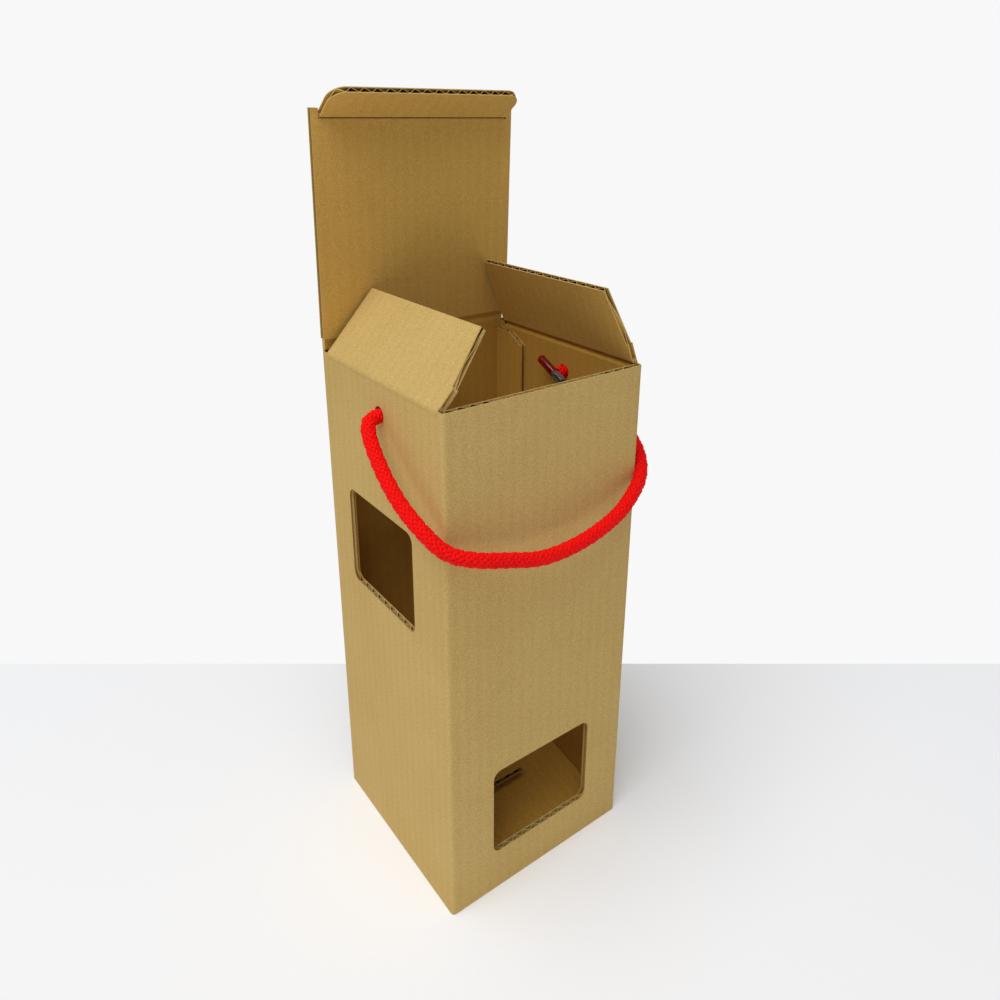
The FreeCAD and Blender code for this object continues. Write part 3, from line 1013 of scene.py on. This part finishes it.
    def dust_flap(self, side: str, sign: float, degrees: float) -> None:
        """A dust flap, square at the back and tapered at the front.

        Args:
            side: left or right.
            sign: -1 for the left wall, 1 for the right.
            degrees: how far it leans inward.
        """
        ends = sorted((sign * self.dust_front, sign * self.dust_back))
        flap = self.board.sheet(side + "_dust_panel", *ends, self.crease, self.dust_length)
        foot, height = self.dust_foot
        slope = math.atan2(foot - self.dust_tip, self.dust_length - height)
        place = Matrix.Translation((sign * -foot, 0.0, height)) @ Matrix.Rotation(sign * slope, 4, "Y") @ (
            Matrix.Rotation(math.pi if sign > 0 else 0.0, 4, "Z"))
        Bench.cut(flap, [Bench.seat(Bench.notch(0.0, 25.0, 0.0, 45.0), place)])
        turn = math.radians(degrees)
        inward = Vector((-sign * math.cos(turn), 0.0, -math.sin(turn)))
        along = Vector((-sign * math.sin(turn), 0.0, math.cos(turn)))
        Bench.settle(flap, (sign * self.width / 2, 0.0, self.height), inward, along)
        self.finish(flap, side + "_dust", Stripes.Y, inward, along, side + "_dust_flap")

    def creases(self) -> None:
        """The bent strips between walls, lid and flaps."""
        left, right = self.lid_notches
        lid = Fold(
            "crease_lid", self.width - left - right, (right - left) / 2, self.lid_angle, self.crease,
            self.lid_crushed,
        )
        self.strip(lid, self.lid_pivot(), Vector((0, -1, 0)), UP, "box", "lid", Stripes.X)
        tuck = Fold(
            "crease_tuck", 2 * self.tuck_half, 0.0, self.tuck_angle, self.tuck_crease, self.tuck_crushed,
        )
        self.strip(tuck, self.tuck_pivot(), *self.upright(self.lid_angle), "lid", "tuck", Stripes.X)
        length = self.dust_back - self.dust_front
        middle = (self.dust_back + self.dust_front) / 2
        for side, sign, degrees in (("left", -1.0, self.left_angle), ("right", 1.0, self.right_angle)):
            fold = Fold("crease_" + side, length, sign * middle, degrees, self.crease)
            pivot = Vector((sign * self.width / 2, 0.0, self.height))
            self.strip(fold, pivot, Vector((-sign, 0, 0)), UP, "box", side + "_dust", Stripes.Y)

    def strip(
        self, fold: Fold, pivot: Vector, inward: Vector, along: Vector, lower: str, upper: str,
        stripes: Stripes,
    ) -> None:
        """One bent strip between its two bodies.

        Args:
            fold: the crease.
            pivot: a point on it.
            inward: the inward direction below it.
            along: the direction towards it.
            lower: the body below it.
            upper: the body above it; not used.
            stripes: the direction across the flutes.
        """
        piece = Bench.settle(fold.build(self.board), pivot, inward, along)
        # Creases on the box take the darker shade copy of the inner liner on their inside: painted shade.
        within = self.finishes.inside if lower == "box" else self.finishes.inner
        Bench.dress(piece, self.finishes.outer[stripes], within[stripes])
        turn = math.radians(fold.degrees)
        middle = (inward + inward * math.cos(turn) - along * math.sin(turn)).normalized()
        for face in piece.data.polygons:
            if face.normal.dot(middle) > 0.3:
                face.material_index = 1
        Bench.smooth(piece, 50.0)
        top = along * math.cos(turn) + inward * math.sin(turn)
        (pivot - along * fold.reach) * MM
        (pivot + top * fold.reach) * MM
        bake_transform(piece)
        LOG.info("%s: %d faces", piece.name, len(piece.data.polygons))


# Rope handle


@dataclass
class RopeHandle:
    """A braided rope from bar to bar, out through both side walls and round the front."""

    finishes: Finishes
    diameter: float = 6.8
    lead: float = 21.0
    yarns: int = 8
    steps: int = 6
    weave: float = 0.3
    yarn_radius: float = 0.8
    core_overlap: float = 0.3
    core_stride: int = 6
    route: Sequence[Triple] = (
        (-46.0, -2.5, 240.5), (-57.5, -2.5, 240.5), (-60.9, -6.6, 236.3), (-62.2, -14.1, 229.9),
        (-63.1, -25.3, 221.3), (-62.9, -37.1, 213.9), (-60.7, -48.8, 207.4), (-56.0, -58.4, 200.2),
        (-44.6, -64.3, 196.6), (-32.1, -65.4, 193.1), (-16.5, -66.6, 188.3), (-0.1, -66.5, 187.6),
        (16.0, -65.2, 188.9), (31.7, -63.6, 192.9), (42.0, -60.8, 197.4), (53.0, -56.0, 202.4),
        (60.6, -47.3, 208.9), (63.6, -36.0, 215.9), (65.2, -25.0, 222.4), (66.0, -14.0, 230.4),
        (65.8, -5.2, 237.5), (58.0, -2.5, 240.5), (46.0, -2.5, 240.5),
    )
    length: float = 0.0
    path: list[Vector] = field(default_factory=list)

    def centre_line(self) -> list[Vector]:
        """Points along the rope's middle, in metres.

        Returns:
            The points, close together.
        """
        curve = bpy.data.curves.new("rope_route", "CURVE")
        curve.dimensions = "3D"
        spline = curve.splines.new("NURBS")
        spline.points.add(len(self.route) - 1)
        for point, place in zip(spline.points, self.route):
            point.co = (*(Vector(place) * MM), 1.0)
        spline.order_u = 3
        spline.use_endpoint_u = True
        spline.resolution_u = 24
        holder = bpy.data.objects.new("rope_route", curve)
        bpy.context.collection.objects.link(holder)
        bpy.context.view_layer.update()
        graph = bpy.context.evaluated_depsgraph_get()
        mesh = bpy.data.meshes.new_from_object(holder.evaluated_get(graph))
        points = [vertex.co.copy() for vertex in mesh.vertices]
        bpy.data.objects.remove(holder, do_unlink=True)
        bpy.data.meshes.remove(mesh)
        return points

    def even(self, points: list[Vector], count: int) -> list[Vector]:
        """Points at even distances.

        Args:
            points: a line.
            count: how many points are wanted.

        Returns:
            The points.
        """
        lengths = [0.0]
        for a, b in zip(points, points[1:]):
            lengths.append(lengths[-1] + (b - a).length)
        result = []
        k = 0
        for n in range(count):
            want = lengths[-1] * n / (count - 1)
            while k < len(points) - 2 and lengths[k + 1] < want:
                k += 1
            share = (want - lengths[k]) / max(lengths[k + 1] - lengths[k], 1e-12)
            result.append(points[k].lerp(points[k + 1], min(1.0, share)))
        return result

    def build(self) -> bpy.types.Object:
        """Makes the rope.

        Returns:
            The rope.
        """
        line = self.centre_line()
        self.length = sum((b - a).length for a, b in zip(line, line[1:]))
        count = int(self.length / (self.lead * MM / self.yarns) * self.steps) + 1
        self.path = self.even(line, count)
        yarns = self.strands("rope_yarns", self.yarn_lines(), self.yarn_radius, 1)
        middle = self.path[::self.core_stride] + [self.path[-1]]
        thin = self.diameter / 2 - 2.0 * self.yarn_radius + self.core_overlap
        rope = Bench.join([yarns, self.strands("rope_core", [middle], thin, 2)], "rope_braid")
        self.mark_rise(rope)
        Bench.dress(rope, self.finishes.yarn)
        Bench.smooth(rope, 80.0)
        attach(rope, "box")
        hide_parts("rope_handle")
        LOG.info("rope_braid: %.1f mm long, %d faces", self.length / MM, len(rope.data.polygons))
        return rope

    def yarn_lines(self) -> list[list[Vector]]:
        """The middles of the yarns, which wind both ways and dive under each other in turn.

        Returns:
            A line for each yarn.
        """
        frames = self.frames()
        turn = 2.0 * math.pi / self.yarns
        lines = []
        for way in (-1.0, 1.0):
            for k in range(self.yarns):
                line = []
                for n, (place, (side, top)) in enumerate(zip(self.path, frames)):
                    swap = 0.0 if way > 0 else math.pi
                    lift = math.cos(math.pi * (2.0 * n / self.steps + k) + swap)
                    angle = way * turn * n / self.steps + k * turn
                    radius = (self.diameter / 2 - self.yarn_radius - self.weave + self.weave * lift) * MM
                    line.append(place + (side * math.cos(angle) + top * math.sin(angle)) * radius)
                lines.append(line)
        return lines

    def frames(self) -> list[tuple[Vector, Vector]]:
        """Two directions across the rope at each point, carried along without twist.

        Returns:
            The pairs of directions.
        """
        line = self.path
        side = Vector((0.0, 1.0, 0.0))
        result = []
        for n in range(len(line)):
            ahead = (line[min(n + 1, len(line) - 1)] - line[max(n - 1, 0)]).normalized()
            side = (side - ahead * side.dot(ahead)).normalized()
            result.append((side.copy(), ahead.cross(side)))
        return result

    @staticmethod
    def strands(name: str, lines: list[list[Vector]], radius: float, resolution: int) -> bpy.types.Object:
        """Round strands along lines, as one mesh.

        Args:
            name: the object's name.
            lines: the strands' middles, in metres.
            radius: their radius.
            resolution: how finely they are rounded.

        Returns:
            The strands.
        """
        curve = bpy.data.curves.new(name, "CURVE")
        curve.dimensions = "3D"
        curve.bevel_depth = radius * MM
        curve.bevel_resolution = resolution
        curve.use_fill_caps = True
        for line in lines:
            spline = curve.splines.new("POLY")
            spline.points.add(len(line) - 1)
            for point, place in zip(spline.points, line):
                point.co = (*place, 1.0)
        made = bpy.data.objects.new(name, curve)
        bpy.context.collection.objects.link(made)
        Bench.only(made)
        bpy.ops.object.convert(target="MESH")
        return bpy.context.object

    def mark_rise(self, rope: bpy.types.Object) -> None:
        """Stores how far out each corner lies, from 0 in the valleys to 1 on the crowns.

        Args:
            rope: the rope.
        """
        tree = KDTree(len(self.path))
        for n, place in enumerate(self.path):
            tree.insert(place, n)
        tree.balance()
        low = (self.diameter / 2 - 2.0 * self.yarn_radius) * MM
        high = self.diameter / 2 * MM
        rises = [(tree.find(vertex.co)[2] - low) / (high - low) for vertex in rope.data.vertices]
        # The yarn's material darkens the low corners by this mark as painted shade.
        marks = rope.data.attributes.new("rise", "FLOAT", "POINT")
        marks.data.foreach_set("value", [max(0.0, min(1.0, rise)) for rise in rises])


@dataclass
class RopeBar:
    """The moulded bar on a rope's end, red with a clear channel at its front."""

    finishes: Finishes
    sign: float
    length: float = 19.5
    shift: float = 3.0
    channel_share: float = 0.34
    half: float = 2.0
    thick: float = 3.4
    stand: float = 46.0
    slope: float = 25.0
    body_round: float = 1.1
    channel_round: float = 0.5
    groove_floor: float = 0.9
    groove_half: float = 1.0

    def build(self) -> bpy.types.Object:
        """Makes the bar.

        Returns:
            The bar.
        """
        side = "right" if self.sign > 0 else "left"
        low = self.shift - self.length / 2
        split = low + self.length * self.channel_share
        body = self.part(split, low + self.length, 0.0, self.thick, self.half)
        Bench.modify(body, "BEVEL", width=self.body_round, segments=3, limit_method="ANGLE")
        channel = self.part(low, split + 0.4, 0.2, self.thick, self.half)
        Bench.modify(channel, "BEVEL", width=self.channel_round, segments=3, limit_method="ANGLE")
        Bench.cut(channel, [self.part(low - 2, split - 0.6, self.groove_floor, 5.0, self.groove_half)])
        Bench.dress(body, self.finishes.red)
        Bench.dress(channel, self.finishes.clear)
        bar = Bench.join([body, channel], side + "_bar")
        lean = math.radians(self.slope)
        along = Vector((0.0, -math.sin(lean), math.cos(lean)))
        Bench.settle(bar, (self.sign * self.stand, *ROPE_HOLE), Vector((-self.sign, 0.0, 0.0)), along)
        Bench.smooth(bar, 40.0)
        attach(bar, "box")
        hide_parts(side + "_rope_bar")
        LOG.info("%s: %d faces", bar.name, len(bar.data.polygons))
        return bar

    def part(self, low: float, high: float, near: float, far: float, half: float) -> bpy.types.Object:
        """A block of the bar, mirrored on the left side.

        Args:
            low: its front end along the bar.
            high: its back end along the bar.
            near: its face towards the wall.
            far: its face away from the wall.
            half: half its height.

        Returns:
            The block.
        """
        ends = sorted((low * self.sign, high * self.sign))
        return Bench.block("bar_part", (ends[0], near, -half), (ends[1], far, half))


# Studio


@dataclass
class Studio:
    """Camera, lamp, floor and surroundings."""

    eye: Triple = (-0.19902, -0.28547, 0.36086)
    pitch: float = -19.359
    yaw: float = -36.557
    roll: float = 0.213
    lens: float = 28.538
    sensor: float = 36.0
    shift: float = -0.10686
    horizon_row: float = 0.6635
    floor_size: tuple[float, float] = (6.0, 3.0)
    floor_level: float = -0.0002
    floor_colour: Triple = (0.945, 0.955, 0.975)
    floor_glow: float = 0.06
    key_place: Triple = (-1.14, -0.42, 2.9)
    key_target: Triple = (0.0, 0.0, 0.17)
    key_size: float = 2.6
    key_power: float = 79.0
    light: Triple = (0.25, 0.25, 0.25)
    seen: Triple = (0.94, 0.94, 0.945)

    def build(self) -> None:
        """Sets up all of it."""
        self.camera()
        self.floor()
        self.lamp()
        self.surroundings()
        bpy.context.scene.view_settings.view_transform = "Standard"

    def camera(self) -> None:
        """The photograph's viewpoint."""
        turn, dip, tilt = (math.radians(a) for a in (self.yaw, self.pitch, self.roll))
        ahead = Vector((-math.sin(turn) * math.cos(dip), math.cos(turn) * math.cos(dip), math.sin(dip)))
        right = Vector((math.cos(turn), math.sin(turn), 0.0))
        up = right.cross(ahead)
        across = right * math.cos(tilt) + up * math.sin(tilt)
        upward = up * math.cos(tilt) - right * math.sin(tilt)
        data = bpy.data.cameras.new("camera")
        data.lens = self.lens
        data.sensor_width = self.sensor
        data.shift_y = self.shift
        data.clip_start = 0.01
        camera = bpy.data.objects.new("camera", data)
        turned = Matrix((across, upward, -ahead)).transposed().to_4x4()
        camera.matrix_world = Matrix.Translation(self.eye) @ turned
        bpy.context.collection.objects.link(camera)
        bpy.context.scene.camera = camera

    def floor(self) -> None:
        """A pale floor whose far edge lies where the photograph's does."""
        far, turn = self.far_edge()
        Bench.clear()
        bpy.ops.mesh.primitive_grid_add(x_subdivisions=2, y_subdivisions=2, size=1.0)
        floor = bpy.context.object
        floor.name = "floor"
        place = Matrix.Translation(far) @ Matrix.Rotation(turn, 4, "Z")
        size = Matrix.Diagonal((*self.floor_size, 1.0, 1.0))
        Bench.seat(floor, place @ size @ Matrix.Translation((0.0, -0.5, 0.0)))
        paint = Surface("floor_paint", 0.9, 0.1)
        paint.set("Base Color", (*self.floor_colour, 1.0))
        paint.set("Emission Color", (1.0, 1.0, 1.0, 1.0))
        paint.set("Emission Strength", self.floor_glow)
        floor.data.materials.append(paint.material)

    def far_edge(self) -> tuple[Vector, float]:
        """Where the floor's far edge has to lie to show level at its row of the picture.

        Returns:
            A point on the edge and the edge's turn about Z.
        """
        grid = bpy.context.scene.camera.matrix_world.to_3x3()
        upward, ahead = grid.col[1], -grid.col[2]
        drop = (self.horizon_row - 0.5 - self.shift) * self.sensor / self.lens
        normal = upward + ahead * drop
        edge = normal.cross(UP).normalized()
        level = UP.cross(edge)
        if level.dot(ahead) < 0.0:
            edge, level = -edge, -level
        reach = normal.z * self.eye[2] / normal.dot(level)
        point = Vector((self.eye[0], self.eye[1], self.floor_level)) + level * reach
        return point, math.atan2(edge.y, edge.x)

    def lamp(self) -> None:
        """One large soft lamp at the upper left."""
        data = bpy.data.lights.new("key", "AREA")
        data.shape = "SQUARE"
        data.size = self.key_size
        data.energy = self.key_power
        lamp = bpy.data.objects.new("key", data)
        way = Vector(self.key_target) - Vector(self.key_place)
        turn = way.to_track_quat("-Z", "Y").to_matrix().to_4x4()
        lamp.matrix_world = Matrix.Translation(self.key_place) @ turn
        bpy.context.collection.objects.link(lamp)

    def surroundings(self) -> None:
        """A white surrounding for the camera and for gloss, and a soft grey one that lights the object."""
        world = bpy.data.worlds.new("surroundings")
        bpy.context.scene.world = world
        world.use_nodes = True
        sheet = NodeSheet(world.node_tree)
        sheet.tree.nodes.clear()
        straight, gloss, through = (
            sheet.node("ShaderNodeLightPath", {}, {}, f"Is {kind} Ray")
            for kind in ("Camera", "Glossy", "Transmission")
        )
        light, seen = (
            sheet.node("ShaderNodeBackground", {}, {"Color": (*colour, 1.0)})
            for colour in (self.light, self.seen)
        )
        factor = straight.greater(gloss).greater(through)
        mix = sheet.node("ShaderNodeMixShader", {}, {0: factor, 1: light, 2: seen})
        out = sheet.tree.nodes.new("ShaderNodeOutputWorld")
        sheet.tree.links.new(mix.socket, out.inputs["Surface"])


def main() -> None:
    """Builds the scene in order and reports each piece."""
    logging.basicConfig(level=logging.INFO, format="%(message)s")
    Studio().build()
    finishes = Finishes()
    rope = RopeHandle(finishes)
    braid = rope.build()
    bars = [RopeBar(finishes, sign).build() for sign in (-1.0, 1.0)]
    Carton(finishes).build()


if __name__ == "__main__":
    main()
